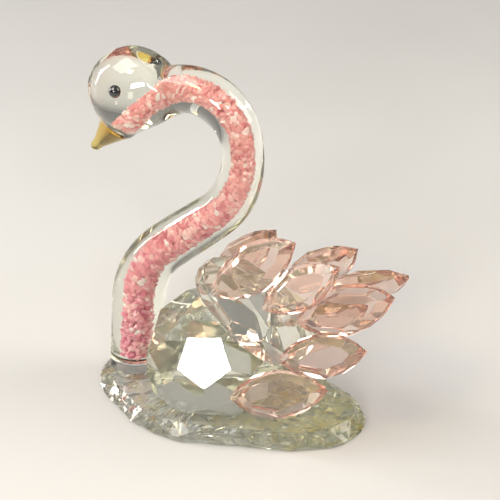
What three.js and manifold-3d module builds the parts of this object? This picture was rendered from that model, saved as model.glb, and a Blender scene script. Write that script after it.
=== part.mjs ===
// Crystal swan figurine: a clear faceted body on a cut-glass base, two wings of pale pink
// marquise stones, and an S-bent glass neck with a round head, black eyes and an amber beak.
// Millimetres. +Z is up, the head looks along -X, the swan's left side is -Y.
import * as THREE from 'three';
import Module from 'manifold-3d';
import { mergeVertices } from 'three/addons/utils/BufferGeometryUtils.js';

// Glue line left between neighbouring pieces
const GLUE_LINE = 0.3;

// Rough block that every faceted piece is ground from
const BLOCK_SIZE = 200;

// Base slab: an oval front and a narrower round tail joined by straight sides
const BASE_THICKNESS = 4.2;
const BASE_ROUNDS = [
  { x: -20.8, radius: 15.5 },
  { x: -8, radius: 22 },
  { x: 22.3, radius: 11.6 },
];
const BASE_SIDES = 22;
const BASE_TOP_BEVEL_DEG = 45;
const BASE_TOP_BEVEL_DEPTH = 1.9;
const BASE_LOWER_BEVEL_DEG = -40;
const BASE_LOWER_BEVEL_DEPTH = 0.9;

// Body: a faceted ball
const BODY_BALLS = [{ x: -5.4, z: 11.7, radius: 16.4 }];
const BODY_FACET_TILT_DEG = -62;
const BODY_FACET_SPIN_DEG = 36;
const BREAST_FLAT = 14.2;

// Clear stone behind the body that carries the wings, from the shoulders down to the rump
const BACK_BALLS = [
  { x: -4.0, z: 33.4, radius: 5.4 },
  { x: 12.5, z: 25.0, radius: 9.2 },
];
const BACK_FACET_TILT_DEG = -20;
const BACK_FACET_SPIN_DEG = 0;

// Neck: runs and bends in order from the foot, a bend forward is a positive turn
const NECK_FOOT_X = -28.2;
const NECK_FOOT_HEADING_DEG = 85;
const NECK_FOOT_TRIM = 1;
const NECK_STEPS = [
  { run: 20.3 },
  { bend: 24.1, turn: -45 },
  { run: 16.4 },
  { bend: 21.8, turn: 60 },
  { bend: 12.7, turn: 102.5 },
  { bend: 36, turn: 23 },
  { run: 3.5 },
];
// Outer radius of the tube at fractions of its length
const NECK_GIRTHS = [
  [0.0, 6.5],
  [0.16, 6.7],
  [0.35, 6.0],
  [0.5, 5.5],
  [0.64, 4.85],
  [0.78, 5.4],
  [0.9, 5.9],
  [1.0, 4.4],
];
const NECK_STATIONS = 64;
const NECK_SEGMENTS = 22;

// Head: a round swelling on the crown side of the neck's end
const HEAD_RADIUS = 9.4;
const HEAD_HALF_WIDTH = 8.2;
const HEAD_RISE = 4.6;
const HEAD_SETBACK = 8.2;
const HEAD_BLEND = 1.4;
// Depth of the step in front of the head that the beak sits against
const SEAT_STEP = 0.05;
const HEAD_FRONT_STATIONS = 6;

// Beak and eyes
const BEAK_LENGTH = 11.0;
const BEAK_BASE_HALF_HEIGHT = 5.0;
const BEAK_BASE_RISE = 0.3;
const BEAK_TIP_HALF_HEIGHT = 1.4;
const BEAK_WIDTH_RATIO = 1.0;
// Shares of the beak's length where its taper ends and its tip starts to round off
const BEAK_TAPER_END = 0.8;
const BEAK_ROUNDING_START = 0.85;
// Length of the beak's root, ground away where it meets the head
const BEAK_ROOT = 1;
const BEAK_BLUNT = 0.05;
const BEAK_SEGMENTS = 20;
const BEAK_STATIONS = 12;
const EYE_RADIUS = 1.5;
const EYE_SEGMENTS = 16;
const EYE_PLACE = { x: -26.0, y: 7.6, z: 81.0 };

// Wing stones: marquise cut, from root to tip, with the side that faces outward
const STONE_WIDTH_RATIO = 0.43;
const STONE_CROWN = 2.3;
const STONE_PAVILION = 2.9;
const STONE_GIRDLE = 0.5;
const STONE_SIDE_ANGLES_DEG = [-44, -26, -9, 9, 26, 44];
const STONE_FACET_ANGLES_DEG = [-41, -14, 14, 41];
const STONE_CROWN_DEG = 50;
const STONE_PAVILION_DEG = -42;
const FEATHERS = [
  { name: 'feather_left_1', root: [-2.0, -8, 34.3], tip: [18.1, -6, 51.3], out: [0, -0.8, 0.45] },
  { name: 'feather_left_2', root: [11.6, -9, 34.1], tip: [29.7, -8, 48.6], out: [0.15, -0.9, 0.4] },
  { name: 'feather_left_3', root: [18.7, -6, 30.8], tip: [42.2, -6, 42.9], out: [0.1, -0.8, 0.45] },
  { name: 'feather_left_4', root: [15.8, -9, 21.3], tip: [37.6, -10, 29.9], out: [0.1, -0.9, 0.4] },
  { name: 'feather_left_5', root: [5.2, -13.3, 10.4], tip: [29.6, -13, 19.0], out: [0.1, -0.9, 0.45] },
  { name: 'feather_right_1', root: [-7.7, 5, 29.3], tip: [8.2, 6, 46.6], out: [0, 0.8, 0.45] },
  { name: 'feather_right_2', root: [9.7, 7, 31.3], tip: [28.1, 8, 45.0], out: [0.15, 0.9, 0.4] },
  { name: 'feather_right_3', root: [20.9, 5, 33.0], tip: [41.2, 7, 41.3], out: [0.1, 0.8, 0.45] },
  { name: 'feather_right_4', root: [14.5, 9, 21.8], tip: [32.0, 9, 30.2], out: [0.1, 0.9, 0.4] },
  { name: 'feather_right_5', root: [4.5, 13.5, 11.2], tip: [25.0, 13, 19.5], out: [0.1, 0.9, 0.45] },
];

// Colours read from the object
const CLEAR_GLASS = 0xdcdccf;
const PINK_GLASS = 0xe3b9a8;
const NECK_GLASS = 0xe0a6a4;
const AMBER_GLASS = 0xc59a1c;
const BLACK_GLASS = 0x0b0a0c;

// Corners closer than this are one corner
const SAME_CORNER = 1e-4;
const SAME_DIRECTION = 0.01;

const wasm = await Module();
wasm.setup();

const radians = THREE.MathUtils.degToRad;

// Closed solid of a three.js geometry, ready to be joined and cut
function toSolid(source) {
  const geometry = source.clone();
  geometry.deleteAttribute('normal');
  geometry.deleteAttribute('uv');
  const merged = mergeVertices(geometry, SAME_CORNER);
  const vertProperties = new Float32Array(merged.attributes.position.array);
  const triVerts = new Uint32Array(merged.index.array);
  return new wasm.Manifold(new wasm.Mesh({ numProp: 3, vertProperties, triVerts }));
}

function toGeometry(solid) {
  const mesh = solid.getMesh();
  const geometry = new THREE.BufferGeometry();
  geometry.setAttribute('position', new THREE.BufferAttribute(new Float32Array(mesh.vertProperties), 3));
  geometry.setIndex(new THREE.BufferAttribute(new Uint32Array(mesh.triVerts), 1));
  geometry.computeVertexNormals();
  return geometry;
}

// Rough block ground down by flat facets, each an outward direction and its distance
function cutStone(facets) {
  let stone = toSolid(new THREE.BoxGeometry(BLOCK_SIZE, BLOCK_SIZE, BLOCK_SIZE));
  for (const { normal, distance } of facets) {
    stone = stone.trimByPlane([-normal.x, -normal.y, -normal.z], -distance);
  }
  return stone;
}

// Thirty-two facet directions of a football: the corners and face centres of an icosahedron,
// tilted about Y and then spun about the five-sided facet on the left side
function roundFacets(tiltDeg, spinDeg) {
  const corners = new THREE.IcosahedronGeometry(1, 0).attributes.position;
  const directions = [];
  const keep = (direction) => {
    if (!directions.some((other) => other.distanceTo(direction) < SAME_DIRECTION)) {
      directions.push(direction);
    }
  };
  for (let corner = 0; corner < corners.count; corner += 3) {
    const centre = new THREE.Vector3();
    for (let offset = 0; offset < 3; offset += 1) {
      const point = new THREE.Vector3().fromBufferAttribute(corners, corner + offset).normalize();
      centre.add(point);
      keep(point);
    }
    keep(centre.normalize());
  }
  const tiltAxis = new THREE.Vector3(0, 1, 0);
  const golden = (1 + Math.sqrt(5)) / 2;
  const spinAxis = new THREE.Vector3(1, -golden, 0).normalize().applyAxisAngle(tiltAxis, radians(tiltDeg));
  for (const direction of directions) {
    direction.applyAxisAngle(tiltAxis, radians(tiltDeg));
    direction.applyAxisAngle(spinAxis, radians(spinDeg));
  }
  return directions;
}

// Distance of a facet that just touches the outermost of a row of balls on the centre plane
function reach(balls, normal) {
  const distances = balls.map((ball) => ball.x * normal.x + (ball.z ?? 0) * normal.z + ball.radius);
  return Math.max(...distances);
}

function roundFacetCuts(balls, tiltDeg, spinDeg, grow) {
  const cuts = [];
  for (const normal of roundFacets(tiltDeg, spinDeg)) {
    cuts.push({ normal, distance: reach(balls, normal) + grow });
  }
  return cuts;
}

function baseSlab() {
  const facets = [
    { normal: new THREE.Vector3(0, 0, 1), distance: BASE_THICKNESS },
    { normal: new THREE.Vector3(0, 0, -1), distance: 0 },
  ];
  const bevels = [
    { tilt: 0, height: 0 },
    { tilt: BASE_TOP_BEVEL_DEG, height: BASE_THICKNESS - BASE_TOP_BEVEL_DEPTH },
    { tilt: BASE_LOWER_BEVEL_DEG, height: BASE_LOWER_BEVEL_DEPTH },
  ];
  for (let side = 0; side < BASE_SIDES; side += 1) {
    const angle = ((side + 0.5) * 2 * Math.PI) / BASE_SIDES;
    const flat = new THREE.Vector3(Math.cos(angle), Math.sin(angle), 0);
    for (const { tilt, height } of bevels) {
      const normal = flat.clone().multiplyScalar(Math.cos(radians(tilt)));
      normal.z = Math.sin(radians(tilt));
      const distance = reach(BASE_ROUNDS, flat) * Math.cos(radians(tilt)) + height * normal.z;
      facets.push({ normal, distance });
    }
  }
  return cutStone(facets);
}

function bodyEgg(grow) {
  const facets = roundFacetCuts(BODY_BALLS, BODY_FACET_TILT_DEG, BODY_FACET_SPIN_DEG, grow);
  const front = new THREE.Vector3(-1, 0, 0);
  facets.push({ normal: front, distance: BREAST_FLAT - BODY_BALLS[0].x + grow });
  facets.push({ normal: new THREE.Vector3(0, 0, -1), distance: -(BASE_THICKNESS + GLUE_LINE) + grow });
  return cutStone(facets);
}

function backStone(grow) {
  return cutStone(roundFacetCuts(BACK_BALLS, BACK_FACET_TILT_DEG, BACK_FACET_SPIN_DEG, grow));
}

// Point and heading of the neck's centre line at a distance from its start
function neckPath(distance) {
  let heading = radians(NECK_FOOT_HEADING_DEG);
  const point = new THREE.Vector2(NECK_FOOT_X, BASE_THICKNESS - NECK_FOOT_TRIM);
  let left = distance;
  NECK_STEPS.forEach((step, index) => {
    const turn = radians(step.turn ?? 0);
    const length = step.run ?? step.bend * Math.abs(turn);
    const last = index === NECK_STEPS.length - 1;
    const part = last ? left : Math.min(left, length);
    const swing = step.run ? 0 : (turn * part) / length;
    const chord = step.run ? part : 2 * step.bend * Math.sin(Math.abs(swing) / 2);
    point.x += chord * Math.cos(heading + swing / 2);
    point.y += chord * Math.sin(heading + swing / 2);
    heading += swing;
    left -= part;
  });
  return { point, heading };
}

function neckLength() {
  let length = 0;
  for (const step of NECK_STEPS) {
    length += step.run ?? step.bend * Math.abs(radians(step.turn));
  }
  return length;
}

// Smooth passage through a row of [position, value] pairs
function blendAlong(pairs, position) {
  let index = 0;
  while (index < pairs.length - 2 && position > pairs[index + 1][0]) {
    index += 1;
  }
  const [start, low] = pairs[index];
  const [end, high] = pairs[index + 1];
  return THREE.MathUtils.lerp(low, high, THREE.MathUtils.smoothstep(position, start, end));
}

function softMax(first, second, blend) {
  return (first + second + Math.hypot(first - second, blend)) / 2;
}

// Cross-section of the neck and head at a distance along the path
function neckSection(distance, grow) {
  const length = neckLength();
  const radius = HEAD_RADIUS + grow;
  const fromHead = distance - (length - HEAD_SETBACK);
  const half = Math.sqrt(Math.max(radius * radius - fromHead * fromHead, 0));
  if (distance > length + grow + SEAT_STEP / 2) {
    return { rise: HEAD_RISE, height: half, width: (half * HEAD_HALF_WIDTH) / HEAD_RADIUS };
  }
  const tube = blendAlong(NECK_GIRTHS, distance / length) + grow;
  if (half === 0) {
    return { rise: 0, height: tube, width: tube };
  }
  const crown = softMax(tube, HEAD_RISE + half, HEAD_BLEND);
  const throat = softMax(tube, half - HEAD_RISE, HEAD_BLEND);
  const width = softMax(tube, (half * HEAD_HALF_WIDTH) / HEAD_RADIUS, HEAD_BLEND);
  return { rise: (crown - throat) / 2, height: (crown + throat) / 2, width };
}

// Straight turned rod whose rings are swollen and carried along the neck's path
function bendRod(stations, segments, sectionAt) {
  const profile = [new THREE.Vector2(0, stations[0])];
  for (const station of stations) {
    profile.push(new THREE.Vector2(1, station));
  }
  profile.push(new THREE.Vector2(0, stations[stations.length - 1]));
  const rod = new THREE.LatheGeometry(profile, segments);
  const vertices = rod.attributes.position;
  for (let index = 0; index < vertices.count; index += 1) {
    const station = vertices.getY(index);
    const { point, heading } = neckPath(station);
    const { rise, height, width } = sectionAt(station);
    const upward = rise + vertices.getX(index) * height;
    const x = point.x + upward * Math.sin(heading);
    const z = point.y - upward * Math.cos(heading);
    vertices.setXYZ(index, x, -vertices.getZ(index) * width, z);
  }
  return rod;
}

function neckAndHead(grow) {
  const length = neckLength();
  const stations = [];
  for (let index = 0; index <= NECK_STATIONS; index += 1) {
    stations.push(((length + grow) * index) / NECK_STATIONS);
  }
  const front = length - HEAD_SETBACK + HEAD_RADIUS + grow;
  for (let index = 0; index < HEAD_FRONT_STATIONS; index += 1) {
    const share = Math.sin((index / HEAD_FRONT_STATIONS) * (Math.PI / 2));
    stations.push(THREE.MathUtils.lerp(length + grow + SEAT_STEP, front, share));
  }
  const rod = toSolid(bendRod(stations, NECK_SEGMENTS, (station) => neckSection(station, grow)));
  return rod.trimByPlane([0, 0, 1], BASE_THICKNESS + GLUE_LINE - grow);
}

function beakSection(share) {
  const narrowed = Math.min(share / BEAK_TAPER_END, 1);
  const taper = THREE.MathUtils.lerp(BEAK_BASE_HALF_HEIGHT, BEAK_TIP_HALF_HEIGHT, narrowed);
  const nearTip = Math.max(share - BEAK_ROUNDING_START, 0) / (1 - BEAK_ROUNDING_START);
  const rounding = Math.sqrt(Math.max(1 - nearTip * nearTip, 0));
  const height = Math.max(taper * rounding, BEAK_BLUNT);
  return { rise: BEAK_BASE_RISE * (1 - narrowed), height, width: height * BEAK_WIDTH_RATIO };
}

function beakCone(neckGrown) {
  const start = neckLength() - BEAK_ROOT;
  const length = BEAK_LENGTH + BEAK_ROOT;
  const stations = [];
  for (let index = 0; index <= BEAK_STATIONS; index += 1) {
    const share = Math.sin((index / BEAK_STATIONS) * (Math.PI / 2));
    stations.push(start + length * share);
  }
  const cone = bendRod(stations, BEAK_SEGMENTS, (station) => beakSection((station - start) / length));
  return toSolid(cone).subtract(neckGrown);
}

function eyeDot(side, neckGrown) {
  const dot = new THREE.SphereGeometry(EYE_RADIUS, EYE_SEGMENTS, EYE_SEGMENTS / 2);
  dot.translate(EYE_PLACE.x, side * EYE_PLACE.y, EYE_PLACE.z);
  return toSolid(dot).subtract(neckGrown);
}

// Marquise stone along X with its table facing +Z
function marquise(length, grow) {
  const width = length * STONE_WIDTH_RATIO;
  const arcRadius = (length * length + width * width) / (4 * width);
  const arcCentre = arcRadius - width / 2;
  const facets = [
    { normal: new THREE.Vector3(0, 0, 1), distance: STONE_CROWN + grow },
    { normal: new THREE.Vector3(0, 0, -1), distance: STONE_PAVILION + grow },
  ];
  const addRow = (anglesDeg, tiltDeg, height) => {
    for (const side of [-1, 1]) {
      for (const angleDeg of anglesDeg) {
        const angle = radians(angleDeg);
        const tilt = radians(tiltDeg);
        const outline = arcRadius - arcCentre * Math.cos(angle);
        const flat = new THREE.Vector3(Math.sin(angle), side * Math.cos(angle), 0);
        const normal = flat.multiplyScalar(Math.cos(tilt)).setZ(Math.sin(tilt));
        const distance = outline * Math.cos(tilt) + height * normal.z + grow;
        facets.push({ normal, distance });
      }
    }
  };
  addRow(STONE_SIDE_ANGLES_DEG, 0, 0);
  addRow(STONE_FACET_ANGLES_DEG, STONE_CROWN_DEG, STONE_GIRDLE);
  addRow(STONE_FACET_ANGLES_DEG, STONE_PAVILION_DEG, -STONE_GIRDLE);
  return cutStone(facets);
}

// Turn and place of a wing stone, from its root, tip and outward side
function stonePlacement({ root, tip, out }) {
  const start = new THREE.Vector3(...root);
  const end = new THREE.Vector3(...tip);
  const along = end.clone().sub(start);
  const length = along.length();
  along.normalize();
  const across = new THREE.Vector3(...out).cross(along).normalize();
  const outward = along.clone().cross(across);
  const matrix = new THREE.Matrix4().makeBasis(along, across, outward);
  matrix.setPosition(start.add(end).multiplyScalar(0.5));
  return { length, matrix };
}

const swan = new THREE.Group();
swan.name = 'crystal_swan';

function glass(color, roughness) {
  return new THREE.MeshStandardMaterial({ color, roughness, metalness: 0 });
}

function addPiece(name, solid, material, matrix = new THREE.Matrix4()) {
  const geometry = toGeometry(solid);
  geometry.applyMatrix4(matrix.clone().invert());
  const mesh = new THREE.Mesh(geometry, material);
  mesh.name = name;
  mesh.applyMatrix4(matrix);
  swan.add(mesh);
}

const neckGrown = neckAndHead(GLUE_LINE);
const body = bodyEgg(0);
const bodyGrown = bodyEgg(GLUE_LINE);
const back = backStone(0).subtract(bodyGrown);
const backGrown = backStone(GLUE_LINE);

addPiece('base', baseSlab(), glass(CLEAR_GLASS, 0.05));
addPiece('body', body, glass(CLEAR_GLASS, 0.05));
addPiece('back_crystal', back, glass(CLEAR_GLASS, 0.05));
addPiece('neck', neckAndHead(0), glass(NECK_GLASS, 0.05));
addPiece('beak', beakCone(neckGrown), glass(AMBER_GLASS, 0.1));
addPiece('eye_left', eyeDot(-1, neckGrown), glass(BLACK_GLASS, 0.1));
addPiece('eye_right', eyeDot(1, neckGrown), glass(BLACK_GLASS, 0.1));

// Each stone is ground to its seat on the body, the back and the stones already set
const placed = [bodyGrown, backGrown];
for (const feather of FEATHERS) {
  const { length, matrix } = stonePlacement(feather);
  let stone = toSolid(toGeometry(marquise(length, 0)).applyMatrix4(matrix));
  for (const neighbour of placed) {
    stone = stone.subtract(neighbour);
  }
  placed.push(toSolid(toGeometry(marquise(length, GLUE_LINE)).applyMatrix4(matrix)));
  addPiece(feather.name, stone, glass(PINK_GLASS, 0.05), matrix);
}

export default swan;
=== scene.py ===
"""Crystal swan figurine: clear cut stones, pale pink marquise wings, a bent glass neck of chips."""
import math
import random

import bmesh
import bpy
from mathutils import Matrix, Vector


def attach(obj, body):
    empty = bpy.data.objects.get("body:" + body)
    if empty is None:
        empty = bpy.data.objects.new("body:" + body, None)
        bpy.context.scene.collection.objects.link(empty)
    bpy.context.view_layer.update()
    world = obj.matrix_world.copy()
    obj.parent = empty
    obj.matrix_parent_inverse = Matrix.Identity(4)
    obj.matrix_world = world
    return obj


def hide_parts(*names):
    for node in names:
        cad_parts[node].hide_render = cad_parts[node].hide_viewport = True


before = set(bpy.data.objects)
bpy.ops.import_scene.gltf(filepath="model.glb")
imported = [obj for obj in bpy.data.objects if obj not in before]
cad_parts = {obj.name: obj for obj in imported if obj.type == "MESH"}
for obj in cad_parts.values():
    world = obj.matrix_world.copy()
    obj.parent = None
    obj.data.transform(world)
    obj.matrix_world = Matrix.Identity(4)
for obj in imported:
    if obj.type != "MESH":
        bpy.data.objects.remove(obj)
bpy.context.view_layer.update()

MM = 0.001

# Neck: runs and bends from the foot up, in millimetres and degrees, as the solid has them
NECK_FOOT = (-28.2, 3.2)
NECK_FOOT_HEADING = 85
NECK_STEPS = (
    ("run", 20.3, 0),
    ("bend", 24.1, -45),
    ("run", 16.4, 0),
    ("bend", 21.8, 60),
    ("bend", 12.7, 102.5),
    ("bend", 36, 23),
    ("run", 3.5, 0),
)
NECK_GIRTHS = (
    (0.0, 6.5),
    (0.16, 6.7),
    (0.35, 6.0),
    (0.5, 5.5),
    (0.64, 4.85),
    (0.78, 5.4),
    (0.9, 5.9),
    (1.0, 4.4),
)
NECK_RINGS = 170
NECK_SIDES = 48
NECK_FOOT_HEIGHT = 4.5
HEAD_RADIUS = 9.4
HEAD_HALF_WIDTH = 8.2
HEAD_RISE = 4.6
HEAD_SETBACK = 8.2
HEAD_BLEND = 1.4
HEAD_FRONT_RINGS = 14
SEAT_STEP = 0.05

# Pink chips in the neck's bore: half sizes along the neck and round the bore, in millimetres,
# tilt in degrees and swing in radians
BORE_START = 4.6
BORE_END = 2.6
BORE_GIRTHS = (
    (0.0, 2.7),
    (0.3, 2.45),
    (0.6, 1.95),
    (0.8, 2.1),
    (1.0, 2.1),
)
CHIP_ROW_PITCH = 0.85
CHIPS_IN_ROW = 10
CHIP_SPACING_WAVER = 0.3
CHIP_DEPTH = 0.62
CHIP_HALF_LENGTHS = (0.75, 1.35)
CHIP_HALF_WIDTHS = (0.55, 0.95)
CHIP_TILT = 24
CHIP_SWING = 0.7
CHIP_CORNERS = (0.78, 1.12)
CHIP_SHADE = (0.5, 0.26)
CHIP_SEED = 7

# Eyes
EYE_RADIUS = 1.5
EYE_SIDES = 28
EYE_PLACE = (-26.0, 7.6, 81.0)

# Cut stones: polished arrises, the angles in degrees that tell a flat facet from a sharp edge,
# and the distances below which corners are merged
STONE_ARRIS = 0.1
FLAT_ANGLE = 0.6
SHARP_ANGLE = 8
SMALLEST_EDGE = 0.12
SAME_CORNER = 0.002
CUT_TOLERANCE = 0.001

# Rough-cut base: how steep and how deep the broad flats of its rim are, how far the small facets
# waver, and the shallow cuts on its underside
RIM_FLATS = 30
RIM_SPACING_WAVER = 0.3
RIM_SLOPES = (26, 62)
RIM_DEPTHS = (0.2, 0.8)
RIM_SMALLEST_EDGE = 0.15
RIM_FACET_LENGTH = 2.8
RIM_HALVINGS = 4
RIM_WAVER = 0.34
TOP_WAVER = 0.07
TOP_LEVEL = 4.15
UNDERSIDE_LEVEL = 0.05
UNDERSIDE_CUT = 0.75
RIM_SEED = 11

# Glass: how strongly it bends light, and the size of the drift in its tint and of its wear
CRYSTAL_INDEX = 1.55
GLASS_INDEX = 1.5
CHIP_INDEX = 1.6
TINT_DRIFT = 70.0
WEAR_GRAIN = 420.0

# Studio: floor, a hair's breadth of air below the base, and soft lamps, in metres and watts
FLOOR_GAP = 0.15
FLOOR_HALF_SIZE = 3.0
SKY_STRENGTH = 0.55
MIDDLE = (0.0, 0.0, 0.04)
WHITE_FACET = (-0.0014, -0.014, 0.0193)
NECK_BEND = (0.0007, -0.0041, 0.0798)
LAMPS = (
    ("key", (-0.35, -0.35, 0.75), MIDDLE, (0.5, 0.5), 5.0, (1.0, 0.97, 0.92)),
    ("fill", (0.6, 0.25, 0.5), MIDDLE, (0.4, 0.6), 4.0, (1.0, 0.93, 0.84)),
    ("facet", (0.0685, -0.659, 0.283), WHITE_FACET, (0.12, 0.12), 2.0, (1.0, 1.0, 1.0)),
    ("left_strip", (-0.6, -0.09, 0.23), MIDDLE, (0.06, 0.4), 0.9, (1.0, 0.97, 0.9)),
    ("neck_glint", (0.326, -0.405, 0.385), NECK_BEND, (0.05, 0.05), 0.5, (1.0, 1.0, 1.0)),
    ("rim_sparkle", (-0.58, -0.05, 0.224), MIDDLE, (0.08, 0.08), 0.8, (0.9, 0.95, 1.0)),
    ("rim_gold", (-0.1, -0.37, 0.46), MIDDLE, (0.09, 0.09), 0.8, (1.0, 0.8, 0.4)),
)

# Camera of the photograph: place and aim in millimetres, focal length for a 36 mm frame
CAMERA_PLACE = (130.27, -270.5, 202.21)
CAMERA_AIM = (-4.06, 17.58, 33.2)
CAMERA_LENS = 103.68


class Shade:
    """A value in a finish: sums, differences and products of values add Math nodes."""

    def __init__(self, finish, socket):
        self.finish = finish
        self.socket = socket

    def _math(self, operation, first, second):
        return self.finish.value("ShaderNodeMath", {"operation": operation}, {0: first, 1: second})

    def __add__(self, other):
        return self._math("ADD", self, other)

    __radd__ = __add__

    def __sub__(self, other):
        return self._math("SUBTRACT", self, other)

    def __rsub__(self, other):
        return self._math("SUBTRACT", other, self)

    def __mul__(self, other):
        return self._math("MULTIPLY", self, other)

    __rmul__ = __mul__


class Finish:
    """The nodes of a material or of the studio's sky, added one by one."""

    def __init__(self, owner):
        self.owner = owner
        self.owner.use_nodes = True
        self.tree = self.owner.node_tree
        self.tree.nodes.clear()

    def node(self, kind, settings=None, inputs=None):
        made = self.tree.nodes.new(kind)
        for key, setting in (settings or {}).items():
            if key == "stops":
                self._set_stops(made.color_ramp, setting)
            else:
                setattr(made, key, setting)
        for key, given in (inputs or {}).items():
            if isinstance(given, Shade):
                self.tree.links.new(given.socket, made.inputs[key])
            else:
                made.inputs[key].default_value = given
        return made

    def value(self, kind, settings=None, inputs=None, output=0):
        return Shade(self, self.node(kind, settings, inputs).outputs[output])

    def _set_stops(self, ramp, stops):
        while len(ramp.elements) < len(stops):
            ramp.elements.new(1.0)
        for element, (position, colour) in zip(ramp.elements, stops):
            element.position = position
            element.color = colour

    def place(self):
        return self.value("ShaderNodeTexCoord", output="Object")

    def along(self, axis):
        """How far a point lies along one axis."""
        return self.value("ShaderNodeSeparateXYZ", inputs={"Vector": self.place()}, output=axis)

    def noise(self, scale, detail=2.0, roughness=0.5):
        inputs = {
            "Vector": self.place(),
            "Scale": scale,
            "Detail": detail,
            "Roughness": roughness,
        }
        return self.value("ShaderNodeTexNoise", inputs=inputs)

    def ramp(self, factor, stops):
        return self.value("ShaderNodeValToRGB", {"stops": stops}, {"Fac": factor})

    def mix(self, factor, first, second, blend_type="MIX"):
        settings = {"data_type": "RGBA", "blend_type": blend_type}
        inputs = {"Factor": factor, "A": first, "B": second}
        return self.value("ShaderNodeMix", settings, inputs, output="Result")

    def bump(self, height, strength, distance):
        inputs = {"Height": height, "Strength": strength, "Distance": distance}
        return self.value("ShaderNodeBump", inputs=inputs)

    def surface(self, inputs, absorption=None):
        shader = self.node("ShaderNodeBsdfPrincipled", inputs=inputs)
        output = self.node("ShaderNodeOutputMaterial")
        self.tree.links.new(shader.outputs["BSDF"], output.inputs["Surface"])
        if absorption:
            colour, density = absorption
            inputs = {"Color": colour, "Density": density}
            volume = self.node("ShaderNodeVolumeAbsorption", inputs=inputs)
            self.tree.links.new(volume.outputs["Volume"], output.inputs["Volume"])
        return self.owner


def new_finish(name):
    return Finish(bpy.data.materials.new(name))


def drifting_tint(finish, pale, deep):
    """A tint that drifts between two shades."""
    return finish.ramp(finish.noise(TINT_DRIFT), ((0.3, pale), (0.7, deep)))


def polished_glass(finish, tint, index, clarity, polish, absorption, relief=None):
    """See-through glass with a polish that is never quite even."""
    wear = finish.noise(WEAR_GRAIN, detail=4.0)
    inputs = {
        "Base Color": tint,
        "Roughness": wear * polish,
        "IOR": index,
        "Transmission Weight": clarity,
    }
    if relief:
        inputs["Normal"] = relief
    return finish.surface(inputs, absorption)


def base_crystal():
    """Clear crystal, yellow-green towards the tail, with faint painted prism glints, blue and gold
    patches, in its rim.
    """
    finish = new_finish("base_crystal")
    along = finish.along("X")
    drift = finish.noise(90.0)
    tail = along * 24.0 + drift * 0.5 - 0.12
    clear = (0.98, 0.98, 0.955, 1)
    tint = finish.ramp(tail, ((0.1, clear), (0.75, (0.97, 0.98, 0.76, 1))))
    # Painted glints: blue and gold noise patches multiplied into the tint stand in for coloured
    # sparkles of light split by the crystal
    painted_prism_glints = finish.ramp(
        finish.noise(260.0, detail=1.0),
        (
            (0.3, (0.72, 0.82, 1.0, 1)),
            (0.4, (0.98, 0.98, 0.96, 1)),
            (0.6, (0.98, 0.98, 0.96, 1)),
            (0.7, (1.0, 0.86, 0.5, 1)),
        ),
    )
    tint_with_painted_glints = finish.mix(1.0, tint, painted_prism_glints, "MULTIPLY")
    return polished_glass(
        finish,
        tint_with_painted_glints,
        index=CRYSTAL_INDEX,
        clarity=0.98,
        polish=0.02,
        absorption=((0.9, 0.93, 0.78, 1), 12.0),
    )


def clear_crystal():
    finish = new_finish("clear_crystal")
    tint = drifting_tint(finish, (0.985, 0.985, 0.965, 1), (0.965, 0.97, 0.94, 1))
    return polished_glass(
        finish,
        tint,
        index=CRYSTAL_INDEX,
        clarity=0.96,
        polish=0.02,
        absorption=((0.92, 0.93, 0.76, 1), 22.0),
    )


def pink_crystal():
    finish = new_finish("pink_crystal")
    tint = drifting_tint(finish, (0.985, 0.92, 0.88, 1), (0.975, 0.87, 0.81, 1))
    return polished_glass(
        finish,
        tint,
        index=CRYSTAL_INDEX,
        clarity=0.97,
        polish=0.02,
        absorption=((0.96, 0.68, 0.56, 1), 65.0),
    )


def neck_glass():
    """Clear glass drawn by hand: its skin wavers slightly."""
    finish = new_finish("neck_glass")
    tint = drifting_tint(finish, (0.99, 0.99, 0.97, 1), (0.975, 0.975, 0.94, 1))
    waver = finish.bump(finish.noise(140.0, detail=1.0), 0.35, 0.2 * MM)
    return polished_glass(
        finish,
        tint,
        index=GLASS_INDEX,
        clarity=1.0,
        polish=0.015,
        absorption=((0.93, 0.93, 0.74, 1), 22.0),
        relief=waver,
    )


def amber_glass():
    finish = new_finish("amber_glass")
    tint = drifting_tint(finish, (1.0, 0.93, 0.5, 1), (0.96, 0.85, 0.34, 1))
    return polished_glass(
        finish,
        tint,
        index=GLASS_INDEX,
        clarity=1.0,
        polish=0.03,
        absorption=((0.94, 0.77, 0.03, 1), 300.0),
    )


def black_glass():
    finish = new_finish("black_glass")
    wear = finish.noise(900.0, detail=3.0)
    shades = ((0.3, (0.004, 0.004, 0.005, 1)), (0.7, (0.012, 0.011, 0.013, 1)))
    inputs = {
        "Base Color": finish.ramp(wear, shades),
        "Roughness": wear * 0.08 + 0.03,
        "IOR": GLASS_INDEX,
        "Coat Weight": 1.0,
    }
    return finish.surface(inputs)


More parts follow.
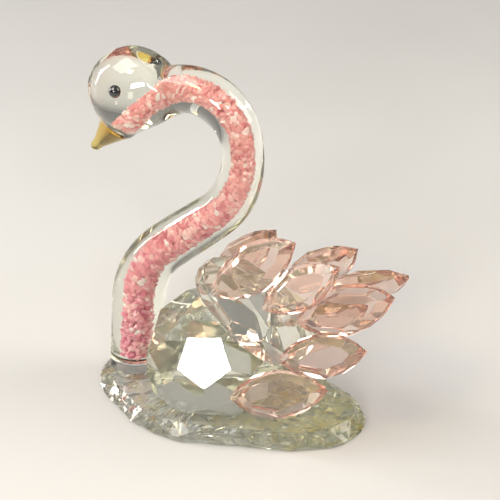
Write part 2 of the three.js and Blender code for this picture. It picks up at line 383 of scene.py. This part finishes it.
def pink_chips():
    """Crushed glass, each chip of its own shade: rose low in the neck, salmon towards the head."""
    finish = new_finish("pink_chips")
    shade = finish.value("ShaderNodeAttribute", {"attribute_name": "chip_shade"}, output="Fac")
    grain = finish.noise(2500.0, detail=3.0)
    height = finish.along("Z")
    spread = shade + grain * 0.24 - 0.12
    rose = (
        (0.0, (0.6, 0.12, 0.22, 1)),
        (0.35, (0.78, 0.24, 0.34, 1)),
        (0.7, (0.88, 0.42, 0.48, 1)),
        (0.9, (0.95, 0.66, 0.67, 1)),
        (1.0, (0.98, 0.9, 0.89, 1)),
    )
    salmon = (
        (0.0, (0.66, 0.18, 0.19, 1)),
        (0.35, (0.82, 0.32, 0.3, 1)),
        (0.7, (0.9, 0.47, 0.43, 1)),
        (0.9, (0.95, 0.66, 0.6, 1)),
        (1.0, (0.98, 0.9, 0.86, 1)),
    )
    headward = height * 16.0 - 0.1
    inputs = {
        "Base Color": finish.mix(headward, finish.ramp(spread, rose), finish.ramp(spread, salmon)),
        "Roughness": grain * 0.2 + 0.12,
        "IOR": CHIP_INDEX,
        "Coat Weight": 0.6,
    }
    return finish.surface(inputs)


def studio_floor():
    finish = new_finish("studio_floor")
    grain = finish.noise(8.0, detail=3.0)
    shades = ((0.3, (0.5, 0.495, 0.49, 1)), (0.7, (0.53, 0.525, 0.52, 1)))
    colour = finish.ramp(grain, shades)
    return finish.surface({"Base Color": colour, "Roughness": grain * 0.1 + 0.5})


def mesh_object(name, bm, material):
    """Closes a bmesh into a named object of one material."""
    mesh = bpy.data.meshes.new(name)
    bm.to_mesh(mesh)
    bm.free()
    mesh.materials.append(material)
    made = bpy.data.objects.new(name, mesh)
    bpy.context.scene.collection.objects.link(made)
    return made


def finished_piece(name, bm, material, smooth, replaced=()):
    """Makes a named piece that rides on the one body."""
    piece = mesh_object(name, bm, material)
    polygons = piece.data.polygons
    polygons.foreach_set("use_smooth", [smooth] * len(polygons))
    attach(piece, "root")
    if replaced:
        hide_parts(*replaced)


def smooth_copy(node):
    """A copy of a solid with its doubled corners merged."""
    bm = bmesh.new()
    bm.from_mesh(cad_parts[node].data)
    bmesh.ops.remove_doubles(bm, verts=bm.verts, dist=SAME_CORNER * MM)
    return bm


def solid_copy(node):
    """A merged copy of a solid, each flat facet one face."""
    bm = smooth_copy(node)
    flat = math.radians(FLAT_ANGLE)
    bmesh.ops.dissolve_limit(bm, angle_limit=flat, verts=bm.verts, edges=bm.edges)
    bmesh.ops.remove_doubles(bm, verts=bm.verts, dist=SMALLEST_EDGE * MM)
    bmesh.ops.dissolve_degenerate(bm, dist=SAME_CORNER * MM, edges=bm.edges)
    return bm


def cut_flat(bm, place, outward):
    """Takes off what lies beyond a plane and closes the cut with one face."""
    geometry = [*bm.verts, *bm.edges, *bm.faces]
    plane = {"plane_co": place, "plane_no": outward, "clear_outer": True}
    cut = bmesh.ops.bisect_plane(bm, geom=geometry, dist=CUT_TOLERANCE * MM, **plane)
    rim = [part for part in cut["geom_cut"] if isinstance(part, bmesh.types.BMEdge)]
    bmesh.ops.contextual_create(bm, geom=rim)


def grind_facet(bm, outward, depth):
    """Grinds a flat on a convex stone, so deep below its highest point in a direction."""
    reach = max(vertex.co.dot(outward) for vertex in bm.verts) - depth
    cut_flat(bm, outward * reach, outward)


def on_underside(edge):
    return all(vertex.co.z < UNDERSIDE_CUT * MM for vertex in edge.verts)


def waver_corners(bm, rng):
    """Moves the corners of the base's small facets a little, each by its own amount."""
    for vertex in bm.verts:
        if vertex.co.z > TOP_LEVEL * MM:
            vertex.co.z -= rng.uniform(0, TOP_WAVER) * MM
        elif vertex.co.z > UNDERSIDE_LEVEL * MM:
            inward = Vector((-vertex.co.x, -vertex.co.y, 0)).normalized()
            vertex.co += inward * rng.uniform(0, RIM_WAVER) * MM
            height = vertex.co.z + rng.uniform(-0.5, 0.5) * RIM_WAVER * MM
            vertex.co.z = max(height, UNDERSIDE_LEVEL * MM)
        elif all(on_underside(edge) for edge in vertex.link_edges):
            vertex.co.z += rng.uniform(0, UNDERSIDE_CUT) * MM


def rough_cut_base():
    """The base with uneven flats ground round its upper rim, broken into small facets."""
    rng = random.Random(RIM_SEED)
    bm = solid_copy("base")
    for flat in range(RIM_FLATS):
        waver = rng.uniform(-RIM_SPACING_WAVER, RIM_SPACING_WAVER)
        around = 2 * math.pi * (flat + waver) / RIM_FLATS
        slope = math.radians(rng.uniform(*RIM_SLOPES))
        level = math.cos(slope)
        outward = Vector((math.cos(around) * level, math.sin(around) * level, math.sin(slope)))
        grind_facet(bm, outward, rng.uniform(*RIM_DEPTHS) * MM)
    bmesh.ops.remove_doubles(bm, verts=bm.verts, dist=RIM_SMALLEST_EDGE * MM)
    bmesh.ops.triangulate(bm, faces=bm.faces)
    for halving in range(RIM_HALVINGS):
        long_edges = [edge for edge in bm.edges if edge.calc_length() > RIM_FACET_LENGTH * MM]
        bmesh.ops.subdivide_edges(bm, edges=long_edges, cuts=1)
        bmesh.ops.triangulate(bm, faces=bm.faces)
    waver_corners(bm, rng)
    return bm


def cut_stone(node, material):
    """A cut stone with its sharp edges taken off by polishing."""
    bm = solid_copy(node)
    sharp = [edge for edge in bm.edges if edge.calc_face_angle(0.0) > math.radians(SHARP_ANGLE)]
    bmesh.ops.bevel(
        bm,
        geom=sharp,
        offset=STONE_ARRIS * MM,
        offset_type="OFFSET",
        affect="EDGES",
        segments=1,
        profile=0.5,
        material=-1,
        clamp_overlap=True,
    )
    bmesh.ops.remove_doubles(bm, verts=bm.verts, dist=SAME_CORNER * MM)
    bmesh.ops.dissolve_degenerate(bm, dist=CUT_TOLERANCE * MM, edges=bm.edges)
    finished_piece("cut_" + node, bm, material, False, (node,))


def blend_along(pairs, position):
    """Smooth passage through a row of (position, value) pairs."""
    index = 0
    while index < len(pairs) - 2 and position > pairs[index + 1][0]:
        index += 1
    start, low = pairs[index]
    end, high = pairs[index + 1]
    share = min(max((position - start) / (end - start), 0.0), 1.0)
    share = share * share * (3 - 2 * share)
    return low + (high - low) * share


def step_length(kind, size, turn):
    return size if kind == "run" else size * math.radians(abs(turn))


def neck_length():
    return sum(step_length(*step) for step in NECK_STEPS)


def neck_path(distance):
    """Place on the neck's centre line, the way along it and the way to its crown side."""
    heading = math.radians(NECK_FOOT_HEADING)
    x, z = NECK_FOOT
    left = distance
    for index, (kind, size, turn) in enumerate(NECK_STEPS):
        length = step_length(kind, size, turn)
        last = index == len(NECK_STEPS) - 1
        part = left if last else min(left, length)
        swing = 0.0 if kind == "run" else math.radians(turn) * part / length
        chord = part if kind == "run" else 2 * size * math.sin(abs(swing) / 2)
        x += chord * math.cos(heading + swing / 2)
        z += chord * math.sin(heading + swing / 2)
        heading += swing
        left -= part
    along = Vector((math.cos(heading), 0, math.sin(heading)))
    crown = Vector((math.sin(heading), 0, -math.cos(heading)))
    return Vector((x, 0, z)), along, crown


def soft_max(first, second, blend):
    return (first + second + math.hypot(first - second, blend)) / 2


def neck_section(distance):
    """Rise, half height and half width of the neck and head at a distance along the path."""
    length = neck_length()
    from_head = distance - (length - HEAD_SETBACK)
    half = math.sqrt(max(HEAD_RADIUS**2 - from_head**2, 0))
    if distance > length + SEAT_STEP / 2:
        return HEAD_RISE, half, half * HEAD_HALF_WIDTH / HEAD_RADIUS
    tube = blend_along(NECK_GIRTHS, distance / length)
    if half == 0:
        return 0.0, tube, tube
    crown = soft_max(tube, HEAD_RISE + half, HEAD_BLEND)
    throat = soft_max(tube, half - HEAD_RISE, HEAD_BLEND)
    width = soft_max(tube, half * HEAD_HALF_WIDTH / HEAD_RADIUS, HEAD_BLEND)
    return (crown - throat) / 2, (crown + throat) / 2, width


def neck_ring(distance):
    """Places of one ring of the neck's skin."""
    point, along, crown = neck_path(distance)
    rise, height, width = neck_section(distance)
    places = []
    for side in range(NECK_SIDES):
        angle = 2 * math.pi * side / NECK_SIDES
        upward = crown * (rise + height * math.cos(angle))
        places.append((point + upward + Vector((0, -width * math.sin(angle), 0))) * MM)
    return places


def neck_stations():
    """Distances of the rings, closer together where the head rounds off."""
    length = neck_length()
    stations = [length * ring / NECK_RINGS for ring in range(NECK_RINGS + 1)]
    front = length - HEAD_SETBACK + HEAD_RADIUS
    for ring in range(HEAD_FRONT_RINGS):
        share = math.sin(ring / HEAD_FRONT_RINGS * math.pi / 2)
        stations.append(length + SEAT_STEP + (front - length - SEAT_STEP) * share)
    return stations


def neck_and_head():
    """A bent glass rod, drawn out ring by ring from its foot to the round head."""
    first, *others = neck_stations()
    bm = bmesh.new()
    circle = bmesh.ops.create_circle(bm, cap_ends=True, segments=NECK_SIDES, radius=MM)
    order = list(circle["verts"])
    for vertex, place in zip(order, neck_ring(first)):
        vertex.co = place
    edges = list(bm.edges)
    for distance in others:
        drawn = bmesh.ops.extrude_edge_only(bm, edges=edges)["geom"]
        edges = [part for part in drawn if isinstance(part, bmesh.types.BMEdge)]
        edges = [edge for edge in edges if all(vertex not in order for vertex in edge.verts)]
        fresh = {}
        for vertex in (part for part in drawn if isinstance(part, bmesh.types.BMVert)):
            beside = [edge.other_vert(vertex) for edge in vertex.link_edges]
            below = [other for other in beside if other in order]
            fresh[order.index(below[0])] = vertex
        order = [fresh[side] for side in range(NECK_SIDES)]
        for vertex, place in zip(order, neck_ring(distance)):
            vertex.co = place
    bmesh.ops.contextual_create(bm, geom=edges)
    cut_flat(bm, Vector((0, 0, NECK_FOOT_HEIGHT * MM)), Vector((0, 0, -1)))
    bmesh.ops.recalc_face_normals(bm, faces=bm.faces)
    return bm


def chip_row(rng, bm, shade_layer, row_distance, bore):
    """Chips lying flat against the bore's wall, in a row round it."""
    start = rng.uniform(0, 2 * math.pi)
    for index in range(CHIPS_IN_ROW):
        waver = rng.uniform(-CHIP_SPACING_WAVER, CHIP_SPACING_WAVER)
        angle = start + 2 * math.pi * (index + waver) / CHIPS_IN_ROW
        distance = row_distance + rng.uniform(-0.5, 0.5) * CHIP_ROW_PITCH
        point, along, crown = neck_path(distance)
        outward = crown * math.cos(angle) + Vector((0, -math.sin(angle), 0))
        axes = Matrix((along, outward.cross(along), outward)).transposed().to_4x4()
        tilt = Matrix.Rotation(math.radians(rng.gauss(0, CHIP_TILT)), 4, "X")
        swing = Matrix.Rotation(rng.uniform(-CHIP_SWING, CHIP_SWING), 4, "Z")
        depth = bore * (1 - CHIP_DEPTH)
        sizes = (rng.uniform(*CHIP_HALF_LENGTHS), rng.uniform(*CHIP_HALF_WIDTHS), depth)
        stretch = Matrix.Diagonal([*sizes, 1.0])
        centre = (point + outward * bore * CHIP_DEPTH) * MM
        place = Matrix.Translation(centre) @ axes @ swing @ tilt @ stretch
        chip = bmesh.ops.create_icosphere(bm, subdivisions=1, radius=MM, matrix=place)["verts"]
        shade = min(max(rng.gauss(*CHIP_SHADE), 0.0), 1.0)
        for vertex in chip:
            vertex.co = centre + (vertex.co - centre) * rng.uniform(*CHIP_CORNERS)
            vertex[shade_layer] = shade


def chips_in_bore():
    """Crushed pink glass that fills the bore from above the foot to the head."""
    rng = random.Random(CHIP_SEED)
    bm = bmesh.new()
    shade_layer = bm.verts.layers.float.new("chip_shade")
    end = neck_length() - BORE_END
    rows = int((end - BORE_START) / CHIP_ROW_PITCH)
    for row in range(rows + 1):
        share = row / rows
        distance = BORE_START + (end - BORE_START) * share
        chip_row(rng, bm, shade_layer, distance, blend_along(BORE_GIRTHS, share))
    return bm


def round_eye(side):
    bm = bmesh.new()
    x, y, z = EYE_PLACE
    bmesh.ops.create_uvsphere(
        bm,
        u_segments=EYE_SIDES,
        v_segments=EYE_SIDES // 2,
        radius=EYE_RADIUS * MM,
        matrix=Matrix.Translation(Vector((x, side * y, z)) * MM),
    )
    return bm


def build_swan():
    crystal = clear_crystal()
    pink = pink_crystal()
    black = black_glass()
    finished_piece("cut_base", rough_cut_base(), base_crystal(), False, ("base",))
    for node in ("body", "back_crystal"):
        cut_stone(node, crystal)
    for node in sorted(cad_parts):
        if node.startswith("feather_"):
            cut_stone(node, pink)
    finished_piece("bent_neck", neck_and_head(), neck_glass(), True, ("neck",))
    finished_piece("neck_chips", chips_in_bore(), pink_chips(), False)
    finished_piece("amber_beak", smooth_copy("beak"), amber_glass(), True, ("beak",))
    for side, name in ((-1, "eye_left"), (1, "eye_right")):
        finished_piece("bead_" + name, round_eye(side), black, True, (name,))


def aimed(place, aim):
    """The turn that points a lamp or the camera from its place at its aim."""
    return (Vector(aim) - Vector(place)).to_track_quat("-Z", "Y").to_euler()


def softbox(name, place, aim, size, power, colour):
    light = bpy.data.lights.new(name, "AREA")
    light.shape = "RECTANGLE"
    light.size, light.size_y = size
    light.energy = power
    light.color = colour
    lamp = bpy.data.objects.new(name, light)
    lamp.location = Vector(place)
    lamp.rotation_euler = aimed(place, aim)
    bpy.context.scene.collection.objects.link(lamp)


def studio_sky():
    """A soft dome: bright overhead, darker towards the horizon."""
    sky = Finish(bpy.data.worlds.new("studio_sky"))
    stops = (
        (0.0, (0.3, 0.29, 0.28, 1)),
        (0.5, (0.32, 0.31, 0.3, 1)),
        (0.68, (0.5, 0.49, 0.48, 1)),
        (0.9, (1.0, 0.98, 0.95, 1)),
    )
    colour = sky.ramp(sky.along("Z") * 0.5 + 0.5, stops)
    inputs = {"Color": colour, "Strength": SKY_STRENGTH}
    background = sky.node("ShaderNodeBackground", inputs=inputs)
    output = sky.node("ShaderNodeOutputWorld")
    sky.tree.links.new(background.outputs["Background"], output.inputs["Surface"])
    return sky.owner


def studio():
    bm = bmesh.new()
    below = Matrix.Translation((0, 0, -FLOOR_GAP * MM))
    bmesh.ops.create_grid(bm, x_segments=1, y_segments=1, size=FLOOR_HALF_SIZE, matrix=below)
    floor = mesh_object("floor", bm, studio_floor())
    bpy.context.scene.world = studio_sky()
    for lamp in LAMPS:
        softbox(*lamp)


def photograph_camera():
    data = bpy.data.cameras.new("camera")
    data.lens = CAMERA_LENS
    data.clip_start = 0.01
    camera = bpy.data.objects.new("camera", data)
    camera.location = Vector(CAMERA_PLACE) * MM
    camera.rotation_euler = aimed(CAMERA_PLACE, CAMERA_AIM)
    bpy.context.scene.collection.objects.link(camera)
    bpy.context.scene.camera = camera


def ray_settings():
    bpy.context.scene.view_settings.view_transform = "Standard"
    cycles = bpy.context.scene.cycles
    cycles.use_denoising = True
    cycles.caustics_refractive = True
    cycles.caustics_reflective = True
    cycles.max_bounces = 24
    cycles.transmission_bounces = 24
    cycles.glossy_bounces = 12
    cycles.sample_clamp_indirect = 6.0
    cycles.blur_glossy = 0.3


photograph_camera()
studio()
ray_settings()
build_swan()
